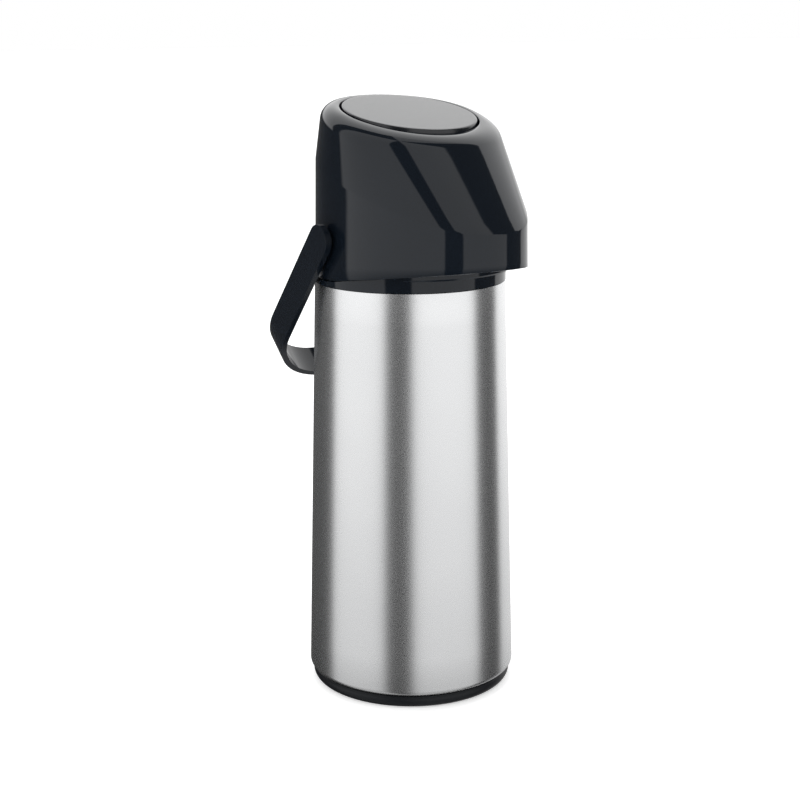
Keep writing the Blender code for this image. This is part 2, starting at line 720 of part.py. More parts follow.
def make_spout_nozzle():
    low, high = NOZZLE_Z
    fit = PIPE_RADIUS + GAP
    profile = [(NOZZLE_RADIUS, high - 4 * MM), (NOZZLE_RADIUS - MM, low)]
    profile += [(3.6 * MM, low), (fit, low + 1.2 * MM)]
    profile += [(fit, high - 5.5 * MM), (fit, high - 4 * MM)]
    turned("spout_nozzle", profile, matte_black(), 24, (0.0, PIPE_FRONT_Y))


def make_nose_cover():
    """Plate that closes the nose from below, with a hole for the nozzle."""
    back_y, inset, thickness, rise = -61.0 * MM, HOOD_WALL + 0.6 * MM, 1.6 * MM, 1.8 * MM
    outline = [hood_plan(angle, inset) for angle in turns(80)]
    outline = [p for p in outline if p.y < back_y]
    rows = [[Vector((p.x, p.y, edge_z(p.y) + rise + lift)) for p in outline] for lift in (0.0, thickness)]
    cover = loops("nose_cover", rows, matte_black())
    clear = NOZZLE_RADIUS + 0.4 * MM
    hole = rod("cut_nozzle", clear, (0, PIPE_FRONT_Y, 235 * MM), (0, PIPE_FRONT_Y, 250 * MM))
    cut(cover, hole)


# ---------------------------------------------------------------- button and bellows


def make_push_button():
    count = 60
    top = lambda y: BUTTON_Z + tan(BUTTON_TILT) * y
    edge = 0.6 * MM
    inner = BUTTON_RADIUS - BUTTON_WALL
    rings = [
        button_ring(BUTTON_RADIUS / 2, count, top),
        button_ring(BUTTON_RADIUS - edge, count, top),
        button_ring(BUTTON_RADIUS, count, lambda y: top(y) - edge),
        button_ring(BUTTON_RADIUS, count, lambda y: BUTTON_FOOT_Z),
        button_ring(inner, count, lambda y: BUTTON_FOOT_Z),
        button_ring(inner, count, lambda y: top(y) - 2.2 * MM),
    ]
    loops("push_button", rings, satin_top())


def make_press_plate():
    low, high = PLATE_Z
    profile = [(0.0, high), (PLATE_RADIUS - 2 * MM, high), (PLATE_RADIUS - 2 * MM, high + 2.4 * MM)]
    profile += [(PLATE_RADIUS, high + 2.4 * MM), (PLATE_RADIUS, low), (0.0, low)]
    turned("press_plate", profile, white_plastic(), 40)


def make_vent_flap():
    low = BELLOWS_Z[1] - 3.1 * MM
    profile = [(0.0, BELLOWS_Z[1]), (1.5 * MM, BELLOWS_Z[1])]
    profile += [(1.5 * MM, low + 1.3 * MM), (5 * MM, low + 1.3 * MM)]
    profile += [(5 * MM, low), (0.0, low)]
    turned("vent_flap", profile, rubber(), 20)


def make_bellows():
    """Folded sleeve, open at its foot, with a vent hole in its top."""
    low, high = BELLOWS_Z
    wall, fold = 1.2 * MM, 4.0 * MM
    outer, inner = BELLOWS_RADIUS, BELLOWS_RADIUS - fold
    pitch = (high - low - 4 * MM) / BELLOWS_FOLDS
    start = low + 2 * MM
    outside = [(outer + 2 * MM, low), (outer + 2 * MM, low + wall), (inner, start)]
    inside = [(inner - 2 * wall, low), (inner - 2 * wall, start)]
    for i in range(BELLOWS_FOLDS):
        outside += [(outer, start + pitch * (i + 0.5)), (inner, start + pitch * (i + 1))]
        inside += [(outer - 2 * wall, start + pitch * (i + 0.5))]
        inside += [(inner - 2 * wall, start + pitch * (i + 1))]
    outside += [(inner, high), (2.3 * MM, high)]
    inside[-1] = (inner - 2 * wall, high - 1.5 * MM)
    inside.append((2.3 * MM, high - 1.5 * MM))
    turned("bellows", outside + inside[::-1], rubber(), 24)


def make_pump_spring():
    clear = SPRING_WIRE + 0.1 * MM
    low, high = BELLOWS_Z[0] + clear, BELLOWS_Z[1] - 1.5 * MM - GAP - clear
    coil("pump_spring", SPRING_RADIUS, SPRING_WIRE, low, high, SPRING_TURNS, bright_wire())


# ---------------------------------------------------------------- latch


def make_latch():
    """Wide lip under the nose on two arms that turn on stubs in the carrier."""
    inner, outer = LATCH_RADII
    count = 24
    lip_top, back_top = 236.4 * MM, 241.6 * MM
    section = [(inner, LATCH_FOOT_Z), (outer - 0.8 * MM, LATCH_FOOT_Z), (outer, LATCH_FOOT_Z + 0.9 * MM)]
    section += [(outer, back_top), (outer - 1.6 * MM, back_top)]
    section += [(outer - 1.6 * MM, lip_top), (inner, lip_top)]
    rows = []
    for i in range(count + 1):
        angle = -LATCH_SPAN + 2 * LATCH_SPAN * i / count
        rows.append([Vector((r * sin(angle), -r * cos(angle), z)) for r, z in section])
    latch = loops("latch", rows, gloss_black())
    for side in (-1, 1):
        xs = (side * 20.0 * MM, side * 24.0 * MM)
        outline = [(-52.4, 238.0), (-49.8, 240.0), (LATCH_Y / MM + 3.0, 251.0), (LATCH_Y / MM, 252.0)]
        outline += [(LATCH_Y / MM - 3.0, 251.0), (LATCH_Y / MM - 3.0, 246.5), (-53.0, 238.4)]
        rows = [[Vector((x, y * MM, z * MM)) for y, z in outline] for x in xs]
        arm = loops(f"add_latch_arm_{side}", rows, gloss_black())
        start, end = (side * 23.0 * MM, LATCH_Y, LATCH_Z), (side * 28.8 * MM, LATCH_Y, LATCH_Z)
        stub = rod(f"add_latch_stub_{side}", LATCH_STUB, start, end, segments=16)
        fuse(latch, arm, stub)
        for tool in (arm, stub):
            at_pivot(tool, (0, LATCH_Y, LATCH_Z))
    at_pivot(latch, (0, LATCH_Y, LATCH_Z))


def make_latch_spring():
    centre = (0, LATCH_Y, LATCH_Z)
    coil("latch_spring", 2.4 * MM, 0.35 * MM, 24.6 * MM, 26.1 * MM, 1.75, bright_wire(), "X", centre, 14, 6)


# ---------------------------------------------------------------- bail


def bail_station(inset, stations):
    """Points (x, distance from the pivot) along half of the strap, at this inset from its outer face."""
    straight = BAIL_LENGTH - BAIL_CORNER
    side = BAIL_HALF_SPAN - inset
    angles = (radians(4), radians(20), radians(38), radians(56), radians(74))
    tips = [(-side, -BAIL_HALF_WIDTH * cos(a)) for a in angles]
    arm = [(-side, 0.0), (-side, straight * 0.5)]
    bend = []
    for i in range(stations + 1):
        angle = pi / 2 * i / stations
        radius = BAIL_CORNER - inset
        bend.append((-(BAIL_HALF_SPAN - BAIL_CORNER) - radius * cos(angle), straight + radius * sin(angle)))
    return tips + arm + bend


def make_handle():
    """Flat strap bent to a U, with rounded ends that turn on stubs in the collar's ears."""
    stations = 10
    outer, inner = bail_station(0.0, stations), bail_station(BAIL_THICKNESS, stations)
    outer += [(-x, s) for x, s in outer[::-1]]
    inner += [(-x, s) for x, s in inner[::-1]]
    down = Vector((0, sin(BAIL_LEAN), -cos(BAIL_LEAN)))
    across = Vector((0, cos(BAIL_LEAN), sin(BAIL_LEAN)))
    pivot = Vector((0, 0, BAIL_PIVOT_Z))
    rows = []
    for (xo, so), (xi, si) in zip(outer, inner):
        half = BAIL_HALF_WIDTH if so >= 0 else sqrt(max(BAIL_HALF_WIDTH**2 - so**2, 0.0))
        corners = [(xo, so, -half), (xo, so, half), (xi, si, half), (xi, si, -half)]
        rows.append([pivot + Vector((x, 0, 0)) + s * down + w * across for x, s, w in corners])
    handle = loops("handle", rows, gloss_black())
    for side in (-1, 1):
        start = (side * (BAIL_HALF_SPAN - MM), 0, BAIL_PIVOT_Z)
        end = (side * (EAR_X[0] + 0.2 * MM), 0, BAIL_PIVOT_Z)
        stub = rod(f"add_bail_stub_{side}", BAIL_STUB, start, end, gloss_black())
        at_pivot(stub, pivot)
        fuse(handle, stub)
    at_pivot(handle, pivot)


def clear_scene():
    for obj in list(bpy.data.objects):
        bpy.data.objects.remove(obj, do_unlink=True)


def main():
    clear_scene()
    make_outer_shell()
    make_base_ring()
    make_base_cap()
    make_glass_refill()
    make_refill_cushion()
    make_flask_seals()
    make_collar()
    make_hinge_pin()
    make_stopper()
    make_dip_tube()
    make_valve_ball()
    make_hood()
    make_carrier()
    make_carrier_screws()
    make_spout_pipe()
    make_spout_nozzle()
    make_nose_cover()
    make_push_button()
    make_press_plate()
    make_vent_flap()
    make_bellows()
    make_pump_spring()
    make_latch()
    make_latch_spring()
    make_handle()


main()
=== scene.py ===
"""Studio scene of the pump pot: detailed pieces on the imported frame, procedural materials, camera and light."""

from math import asin, copysign, cos, pi, radians, sin, sqrt, tan

import bmesh
import bpy
from mathutils import Matrix, Vector


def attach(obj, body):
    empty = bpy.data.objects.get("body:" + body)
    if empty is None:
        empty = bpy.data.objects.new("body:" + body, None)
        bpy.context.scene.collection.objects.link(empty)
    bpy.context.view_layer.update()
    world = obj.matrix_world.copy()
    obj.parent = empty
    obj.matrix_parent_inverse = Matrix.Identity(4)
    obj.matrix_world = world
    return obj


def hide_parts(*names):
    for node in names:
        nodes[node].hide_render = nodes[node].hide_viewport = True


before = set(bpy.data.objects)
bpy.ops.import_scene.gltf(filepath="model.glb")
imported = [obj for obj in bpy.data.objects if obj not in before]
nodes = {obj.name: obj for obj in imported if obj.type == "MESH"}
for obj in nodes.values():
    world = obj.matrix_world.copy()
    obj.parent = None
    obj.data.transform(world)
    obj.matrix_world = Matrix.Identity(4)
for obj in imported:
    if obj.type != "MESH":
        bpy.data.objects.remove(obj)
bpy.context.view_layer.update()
MM = 0.001

# ---------------------------------------------------------------- camera

AROUND = radians(32.4)  # how far round to the left of the spout the camera stands
CAMERA_DISTANCE = 0.88116
CAMERA_HEIGHT = 0.36785
PITCH, YAW, ROLL = radians(13.335), radians(-0.373), radians(-0.274)
LENS_MM = 73.75


def make_camera():
    forward = Vector((sin(YAW) * cos(PITCH), cos(YAW) * cos(PITCH), -sin(PITCH)))
    right = Vector((cos(YAW), -sin(YAW), 0.0))
    up = right.cross(forward)
    right, up = cos(ROLL) * right + sin(ROLL) * up, cos(ROLL) * up - sin(ROLL) * right
    turn = Matrix.Rotation(-AROUND, 3, "Z")
    axes = [turn @ right, turn @ up, turn @ -forward]
    rotation = Matrix(axes).transposed()
    place = turn @ Vector((0.0, -CAMERA_DISTANCE, CAMERA_HEIGHT))
    data = bpy.data.cameras.new("camera")
    data.lens = LENS_MM
    data.sensor_width = 36.0
    camera = bpy.data.objects.new("camera", data)
    camera.matrix_world = Matrix.Translation(place) @ rotation.to_4x4()
    bpy.context.scene.collection.objects.link(camera)
    bpy.context.scene.camera = camera


# ---------------------------------------------------------------- node helpers


class Graph:
    """Short names for building a node tree."""

    def __init__(self, tree):
        self.tree = tree

    def node(self, kind, **settings):
        made = self.tree.nodes.new(kind)
        for name, value in settings.items():
            setattr(made, name, value)
        return made

    def link(self, source, target):
        self.tree.links.new(source, target)

    def feed(self, socket, value):
        if hasattr(value, "is_output"):
            self.link(value, socket)
        else:
            socket.default_value = value

    def math(self, operation, first, second=0.0, third=0.0, clamp=False):
        made = self.node("ShaderNodeMath", operation=operation, use_clamp=clamp)
        for socket, value in zip(made.inputs, (first, second, third)):
            self.feed(socket, value)
        return made.outputs[0]

    def mix(self, factor, first, second):
        made = self.node("ShaderNodeMix", data_type="RGBA")
        self.feed(made.inputs[0], factor)
        self.feed(made.inputs[6], first)
        self.feed(made.inputs[7], second)
        return made.outputs[2]

    def ramp(self, factor, stops):
        made = self.node("ShaderNodeValToRGB")
        elements = made.color_ramp.elements
        while len(elements) > 1:
            elements.remove(elements[-1])
        elements[0].position, elements[0].color = stops[0][0], grey(stops[0][1])
        for place, value in stops[1:]:
            elements.new(place).color = grey(value)
        self.feed(made.inputs[0], factor)
        return made.outputs[0]

    def noise(self, vector, scale, detail=3.0, roughness=0.5):
        made = self.node("ShaderNodeTexNoise")
        self.link(vector, made.inputs["Vector"])
        made.inputs["Scale"].default_value = scale
        made.inputs["Detail"].default_value = detail
        made.inputs["Roughness"].default_value = roughness
        return made.outputs[0]


def grey(value):
    if isinstance(value, (int, float)):
        return (value, value, value, 1.0)
    return (*value, 1.0)


# ---------------------------------------------------------------- studio

# Azimuths of the reflected light, in degrees from the camera, positive to its right
BANDS = ((-180, 0.09), (-101, 0.09), (-99, 1.0), (-30.5, 1.0), (-28, 0.09), (1, 0.09), (3, 1.0))
BANDS += ((81.5, 1.0), (84, 0.09), (121.5, 0.09), (123.5, 1.0), (180, 1.0))
BAND_LIGHT = 1.15
CARD_LIGHT = 1.6
PANEL_FADE = ((0.28, 0.42), (0.315, 0.6), (0.42, 1.0), (1.0, 1.0))  # dimmer towards the floor
CARD_FADE = ((0.16, 0.0), (0.24, 1.0))  # the card starts above the horizon
CARD_REACH = 0.35  # and lies this far behind the pot
FLOOR_HALF_SIZE = 15.0


def along(graph, x, y, direction):
    """How far the point (x, y) lies along a horizontal direction."""
    return graph.math("ADD", graph.math("MULTIPLY", x, direction[0]), graph.math("MULTIPLY", y, direction[1]))


def make_world():
    """White for the camera; for reflections, upright panels with dark gaps and a bright card behind."""
    world = bpy.data.worlds.new("studio")
    world.use_nodes = True
    bpy.context.scene.world = world
    graph = Graph(world.node_tree)
    world.node_tree.nodes.clear()
    place = graph.node("ShaderNodeTexCoord")
    split = graph.node("ShaderNodeSeparateXYZ")
    graph.link(place.outputs["Generated"], split.inputs[0])
    x, y, z = split.outputs
    towards = along(graph, x, y, (-sin(AROUND), -cos(AROUND)))
    rightwards = along(graph, x, y, (cos(AROUND), -sin(AROUND)))
    azimuth = graph.math("ARCTAN2", rightwards, towards)
    share = graph.math("MULTIPLY_ADD", azimuth, 1 / (2 * pi), 0.5)
    bands = graph.ramp(share, [(angle / 360 + 0.5, level) for angle, level in BANDS])
    low = graph.ramp(graph.math("MULTIPLY_ADD", z, 0.5, 0.5), PANEL_FADE)
    panels = graph.math("MULTIPLY", graph.math("MULTIPLY", bands, low), BAND_LIGHT)
    back = graph.math("GREATER_THAN", graph.math("MULTIPLY", towards, -1.0), CARD_REACH)
    high = graph.ramp(z, CARD_FADE)
    card = graph.math("MULTIPLY", back, high)
    level = graph.mix(card, graph.mix(1.0, (0, 0, 0, 1), panels), (CARD_LIGHT, CARD_LIGHT, CARD_LIGHT, 1.0))
    path = graph.node("ShaderNodeLightPath")
    seen = graph.mix(path.outputs["Is Camera Ray"], level, (1.0, 1.0, 1.0, 1.0))
    background = graph.node("ShaderNodeBackground")
    output = graph.node("ShaderNodeOutputWorld")
    graph.link(seen, background.inputs[0])
    graph.link(background.outputs[0], output.inputs[0])


def make_floor():
    size = FLOOR_HALF_SIZE
    corners = ((-size, -size), (size, -size), (size, size), (-size, size))
    bm = bmesh.new()
    bm.faces.new([bm.verts.new((x, y, 0.0)) for x, y in corners])
    mesh = bpy.data.meshes.new("floor")
    bm.to_mesh(mesh)
    bm.free()
    floor = bpy.data.objects.new("floor", mesh)
    bpy.context.scene.collection.objects.link(floor)
    look = bpy.data.materials.new("pale_floor")
    look.use_nodes = True
    shader = look.node_tree.nodes["Principled BSDF"]
    shader.inputs["Base Color"].default_value = (0.9, 0.9, 0.9, 1.0)
    shader.inputs["Roughness"].default_value = 0.9
    shader.inputs["Specular IOR Level"].default_value = 0.0
    shader.inputs["Emission Color"].default_value = (1.0, 1.0, 1.0, 1.0)
    shader.inputs["Emission Strength"].default_value = 0.45
    mesh.materials.append(look)
    floor.visible_glossy = False


def make_light(name, place, size, power):
    data = bpy.data.lights.new(name, "AREA")
    data.shape = "SQUARE"
    data.size = size
    data.energy = power
    light = bpy.data.objects.new(name, data)
    light.location = place
    light.rotation_euler = (Vector((0, 0, 0.15)) - Vector(place)).to_track_quat("-Z", "Y").to_euler()
    light.visible_glossy = False
    bpy.context.scene.collection.objects.link(light)


# ---------------------------------------------------------------- materials


def new_look(name):
    look = bpy.data.materials.new(name)
    look.use_nodes = True
    graph = Graph(look.node_tree)
    return look, graph, look.node_tree.nodes["Principled BSDF"]


def bump(graph, shader, height, strength, distance):
    made = graph.node("ShaderNodeBump")
    made.inputs["Strength"].default_value = strength
    made.inputs["Distance"].default_value = distance
    graph.link(height, made.inputs["Height"])
    graph.link(made.outputs[0], shader.inputs["Normal"])


def object_place(graph):
    return graph.node("ShaderNodeTexCoord").outputs["Object"]


def polished_plastic(name, colour, roughness, ior, peel=0.04):
    """Moulded plastic: slight colour and gloss variation and a faint orange peel."""
    look, graph, shader = new_look(name)
    place = object_place(graph)
    patches = graph.noise(place, 35.0, 4.0)
    darker = tuple(c * 0.82 for c in colour)
    graph.link(graph.mix(patches, grey(darker), grey(colour)), shader.inputs["Base Color"])
    fine = graph.noise(place, 900.0, 2.0)
    gloss = graph.math("MULTIPLY_ADD", fine, roughness * 0.5, roughness * 0.75)
    graph.link(gloss, shader.inputs["Roughness"])
    bump(graph, shader, graph.noise(place, 160.0, 2.0), peel, 0.0002)
    shader.inputs["IOR"].default_value = ior
    return look


def textured_plastic(name, colour, roughness, grain=1400.0, depth=0.25):
    """Matt moulding or rubber with a fine speckle."""
    look, graph, shader = new_look(name)
    place = object_place(graph)
    speck = graph.noise(place, grain, 2.0)
    lighter = tuple(min(1.0, c * 1.15) for c in colour)
    graph.link(graph.mix(speck, grey(colour), grey(lighter)), shader.inputs["Base Color"])
    graph.link(graph.math("MULTIPLY_ADD", speck, 0.12, roughness - 0.06), shader.inputs["Roughness"])
    bump(graph, shader, speck, depth, 0.00008)
    return look


def grained_steel(name):
    """Stainless skin with a fine even grain and broad faint clouds."""
    look, graph, shader = new_look(name)
    place = object_place(graph)
    grain = graph.noise(place, 1500.0, 3.0, 0.6)
    clouds = graph.noise(place, 25.0, 3.0)
    both = graph.math("MULTIPLY_ADD", clouds, 0.3, graph.math("MULTIPLY", grain, 0.7))
    colour = graph.mix(both, grey((0.70, 0.705, 0.715)), grey((0.88, 0.885, 0.89)))
    graph.link(colour, shader.inputs["Base Color"])
    graph.link(graph.math("MULTIPLY_ADD", grain, 0.12, 0.21), shader.inputs["Roughness"])
    shader.inputs["Metallic"].default_value = 1.0
    bump(graph, shader, grain, 0.15, 0.00008)
    return look


def metal(name, colour, roughness):
    """Plain metal with faint scratches."""
    look, graph, shader = new_look(name)
    place = object_place(graph)
    scratches = graph.noise(place, 1200.0, 3.0)
    darker = tuple(c * 0.85 for c in colour)
    graph.link(graph.mix(scratches, grey(darker), grey(colour)), shader.inputs["Base Color"])
    graph.link(graph.math("MULTIPLY_ADD", scratches, 0.15, roughness - 0.07), shader.inputs["Roughness"])
    shader.inputs["Metallic"].default_value = 1.0
    bump(graph, shader, scratches, 0.05, 0.00004)
    return look


def silvered_glass():
    """Mirror coating on slightly wavy glass."""
    look, graph, shader = new_look("silvered_glass")
    place = object_place(graph)
    waves = graph.noise(place, 30.0, 2.0)
    colour = graph.mix(waves, grey((0.7, 0.73, 0.76)), grey((0.9, 0.91, 0.92)))
    graph.link(colour, shader.inputs["Base Color"])
    graph.link(graph.math("MULTIPLY_ADD", waves, 0.05, 0.03), shader.inputs["Roughness"])
    shader.inputs["Metallic"].default_value = 0.9
    bump(graph, shader, waves, 0.05, 0.0004)
    return look


# ---------------------------------------------------------------- mesh helpers


def add_piece(name, mesh, look, body, replaced, smooth_angle=30.0):
    mesh.materials.clear()
    mesh.materials.append(look)
    for polygon in mesh.polygons:
        polygon.material_index = 0
    mesh.shade_smooth()
    mesh.set_sharp_from_angle(angle=radians(smooth_angle))
    piece = bpy.data.objects.new(name, mesh)
    bpy.context.scene.collection.objects.link(piece)
    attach(piece, body)
    if replaced:
        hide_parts(*replaced)
    return piece


def mesh_of(bm, name):
    bmesh.ops.recalc_face_normals(bm, faces=bm.faces)
    mesh = bpy.data.meshes.new(name)
    bm.to_mesh(mesh)
    bm.free()
    return mesh


def skinned(name, rows, closed):
    """Mesh through rings of equally many points; closed joins the last ring to the first."""
    bm = bmesh.new()
    made = [[bm.verts.new(point) for point in row] for row in rows]
    pairs = list(zip(made, made[1:]))
    if closed:
        pairs.append((made[-1], made[0]))
    count = len(made[0])
    for low, high in pairs:
        for i in range(count):
            j = (i + 1) % count
            bm.faces.new((low[i], low[j], high[j], high[i]))
    if not closed:
        bm.faces.new(made[0])
        bm.faces.new(made[-1])
    return mesh_of(bm, name)


def turned(name, profile, segments=192):
    rows = [[Vector((r * cos(a), r * sin(a), z)) for a in turns(segments)] for r, z in profile]
    return skinned(name, rows, True)


def turns(count):
    return [2 * pi * i / count for i in range(count)]


def arc(centre, radius, start, end, steps):
    (cr, cz) = centre
    angles = [start + (end - start) * i / steps for i in range(steps + 1)]
    return [(cr + radius * cos(a), cz + radius * sin(a)) for a in angles]


def refined(name, node, look, body, bevel=0.0, smooth_angle=32.0):
    """The CAD node's own shape with welded points, smooth round sides and softened edges."""
    bm = bmesh.new()
    bm.from_mesh(nodes[node].data)
    bmesh.ops.remove_doubles(bm, verts=bm.verts, dist=2e-6)
    bmesh.ops.dissolve_limit(bm, angle_limit=radians(0.4), verts=bm.verts, edges=bm.edges)
    mesh = mesh_of(bm, name)
    piece = add_piece(name, mesh, look, body, [node], smooth_angle)
    if bevel:
        modifier = piece.modifiers.new("soft_edges", "BEVEL")
        modifier.width = bevel
        modifier.segments = 3
        modifier.limit_method = "ANGLE"
        modifier.angle_limit = radians(40)
        modifier.harden_normals = True
    return piece


# ---------------------------------------------------------------- the head's outline, as in the CAD

HOOD_BACK_RADIUS, HOOD_SIDE_RADIUS, HOOD_SIDE_ARC = 51.3 * MM, 115.0 * MM, radians(37.7)
HOOD_DRAFT = tan(radians(1.0))
HOOD_WALL = 2.0 * MM
CROWN_RADIUS, CROWN_TILT, CROWN_Z, CROWN_SAG = 46.9 * MM, radians(13.5), 315.7 * MM, 1.0
CROWN_ROUNDING = (7.0 * MM, 16.0 * MM)
BUTTON_RADIUS, BUTTON_TILT, BUTTON_Z = 36.2 * MM, radians(12.0), 316.3 * MM
HOLE_RADIUS = 37.5 * MM
SLEEVE_WALL = 1.8 * MM
SLEEVE_FOOT_Z = 297.0 * MM
BUTTON_FOOT_Z = 290.0 * MM


def hood_plan(angle, inset=0.0):
    """Point of the hood's outline whose outward normal has this angle from +X, moved in by inset."""
    back, side, side_arc = HOOD_BACK_RADIUS, HOOD_SIDE_RADIUS, HOOD_SIDE_ARC
    nose = (back - side * (1 - cos(side_arc))) / cos(side_arc)
    nose_centre = (side - nose) * sin(side_arc)
    normal = Vector((cos(angle), sin(angle)))
    turn = asin(min(1.0, max(0.0, -normal.y)))
    if normal.y >= 0:
        return normal * (back - inset)
    if turn <= side_arc:
        return Vector((copysign(side - back, -normal.x), 0.0)) + normal * (side - inset)
    return Vector((0.0, -nose_centre)) + normal * (nose - inset)


def edge_z(y):
    return 230.2 * MM + 0.14 * max(0.0, -3.0 * MM - y)


def crease_z(y):
    return 284.7 * MM + 0.30 * y


def crown_z(y):
    return CROWN_Z + tan(CROWN_TILT) * y - CROWN_SAG * max(0.0, y) ** 2


def flat_at(z):
    """Height function of a horizontal plane."""
    return lambda y: z


def tilted(radius, tilt, angle, height):
    """Point of a circle that is round in a plane tilted about X; height gives its z from its y."""
    x, y = radius * cos(angle), radius * cos(tilt) * sin(angle)
    return Vector((x, y, height(y)))


def corner_arc(side, corner, inward, radius, steps):
    """Arc of this radius that touches the lines from the corner to the two other points."""
    first, second = (side - corner).normalized(), (inward - corner).normalized()
    half = first.angle(second) / 2
    centre = corner + (first + second).normalized() * (radius / sin(half))
    reach = radius / tan(half)
    start, end = corner + first * reach - centre, corner + second * reach - centre
    sweep = start.angle(end)
    found = []
    for i in range(steps + 1):
        a, b = sin(sweep * (1 - i / steps)) / sin(sweep), sin(sweep * i / steps) / sin(sweep)
        found.append(centre + start * a + end * b)
    return found


def hood_column(angle):
    """Outside of the hood at one angle, from the lower edge to the foot of the button's sleeve."""
    low = hood_plan(angle)
    foot = Vector((low.x, low.y, edge_z(low.y)))
    fold = hood_plan(angle, HOOD_DRAFT * (crease_z(low.y) - foot.z))
    crease = Vector((fold.x, fold.y, crease_z(fold.y)))
    top = tilted(CROWN_RADIUS, CROWN_TILT, angle, crown_z)
    hole = tilted(HOLE_RADIUS, CROWN_TILT, angle, crown_z)
    back, front = CROWN_ROUNDING
    rounding = back + (front - back) * ((1 - sin(angle)) / 2) ** 2
    up = (crease - foot).normalized()
    inward = Vector((-cos(angle), -sin(angle), 0.0))
    lip = 0.4 * MM
    column = [foot + inward * lip, foot + up * lip * 0.3 + inward * lip * 0.3, foot + up * lip]
    column += [foot.lerp(crease, i / 6) for i in range(1, 6)]
    column += corner_arc(foot, crease, top, 1.5 * MM, 4)
    shoulder = corner_arc(crease, top, hole, rounding, 16)
    column += [column[-1].lerp(shoulder[0], i / 8) for i in range(1, 8)]
    column += shoulder
    rim = 0.5 * MM
    level = (hole - shoulder[-1]).normalized()
    below = Vector((0.0, 0.0, -1.0))
    column += [hole - level * rim, hole - level * rim * 0.3 + below * rim * 0.3, hole + below * rim]
    return column


def make_hood(look):
    """Moulded hood: outside, sleeve round the button and an inside one wall further in."""
    count = 240
    columns = [hood_column(angle) for angle in turns(count)]
    rows = len(columns[0])
    outside = [[columns[i][j] for i in range(count)] for j in range(rows)]
    inside = []
    for j in range(3, rows - 3):
        row = []
        for i in range(count):
            along = outside[j][(i + 1) % count] - outside[j][i - 1]
            upward = outside[j + 1][i] - outside[j - 1][i]
            row.append(outside[j][i] + upward.cross(along).normalized() * HOOD_WALL)
        inside.append(row)
    foot_row = []
    for i in range(count):
        direction = Vector((outside[0][i].x - inside[0][i].x, outside[0][i].y - inside[0][i].y, 0.0))
        point = outside[0][i] - direction.normalized() * 1.5 * MM
        foot_row.append(Vector((point.x, point.y, outside[0][i].z)))
    inside.insert(0, foot_row)
    sleeve = []
    for radius in (HOLE_RADIUS, HOLE_RADIUS + SLEEVE_WALL):
        sleeve.append([tilted(radius, CROWN_TILT, a, flat_at(SLEEVE_FOOT_Z)) for a in turns(count)])
    mesh = skinned("hood_shell", outside + sleeve + inside[::-1], True)
    return add_piece("hood_shell", mesh, look, "head", ["hood"], 35.0)


def make_button(look):
    """Flat button with a softened edge and a skirt below."""
    count = 192
    edge = 0.7 * MM

    def height(y):
        return BUTTON_Z + tan(BUTTON_TILT) * y

    rows = []
    for share in (0.02, 0.3, 0.6, 0.8, 0.9, 0.96):
        radius = (BUTTON_RADIUS - edge) * share
        rows.append([tilted(radius, BUTTON_TILT, a, height) for a in turns(count)])
    for i in range(6):
        turn = pi / 2 * i / 5
        radius = BUTTON_RADIUS - edge + edge * sin(turn)
        drop = edge * (1 - cos(turn))
        rows.append([tilted(radius, BUTTON_TILT, a, lambda y: height(y) - drop) for a in turns(count)])
    rows.append([tilted(BUTTON_RADIUS, BUTTON_TILT, a, flat_at(BUTTON_FOOT_Z)) for a in turns(count)])
    inner = BUTTON_RADIUS - 1.8 * MM
    rows.append([tilted(inner, BUTTON_TILT, a, flat_at(BUTTON_FOOT_Z)) for a in turns(count)])
    rows.append([tilted(inner, BUTTON_TILT, a, lambda y: height(y) - 2.2 * MM) for a in turns(count)])
    mesh = skinned("button_cap", rows, False)
    return add_piece("button_cap", mesh, look, "button", ["push_button"], 35.0)


# ---------------------------------------------------------------- flask and foot

SKIN_TOP_Z, SKIN_TOP_RADIUS, SKIN_FOOT_Z, SKIN_FOOT_RADIUS = 226.8 * MM, 51.6 * MM, 7.4 * MM, 57.5 * MM


def skin_radius(z):
    share = (z - SKIN_FOOT_Z) / (SKIN_TOP_Z - SKIN_FOOT_Z)
    return SKIN_FOOT_RADIUS + share * (SKIN_TOP_RADIUS - SKIN_FOOT_RADIUS)


def make_skin(look):
    """Steel skin with a rolled-in foot and a tiny round at its top edge."""
    roll, wall = 3.0 * MM, 0.5 * MM
    bend_z = SKIN_FOOT_Z + roll
    centre = (skin_radius(bend_z) - roll, bend_z)
    top = 0.2 * MM
    profile = [(SKIN_TOP_RADIUS - wall + top, SKIN_TOP_Z), (SKIN_TOP_RADIUS - top, SKIN_TOP_Z)]
    profile += [(SKIN_TOP_RADIUS - 0.05 * MM, SKIN_TOP_Z - 0.07 * MM)]
    profile += [(SKIN_TOP_RADIUS, SKIN_TOP_Z - top)]
    for i in range(1, 12):
        z = SKIN_TOP_Z + (bend_z - SKIN_TOP_Z) * i / 12
        profile.append((skin_radius(z), z))
    profile += arc(centre, roll, 0, -pi / 2, 12)
    profile += [(54.3 * MM, SKIN_FOOT_Z), (54.3 * MM, SKIN_FOOT_Z + wall)]
    profile += arc(centre, roll - wall, -pi / 2, 0, 8)
    profile.append((SKIN_TOP_RADIUS - wall, SKIN_TOP_Z - top))
    mesh = turned("steel_skin", profile)
    return add_piece("steel_skin", mesh, look, "flask", ["outer_shell"], 40.0)


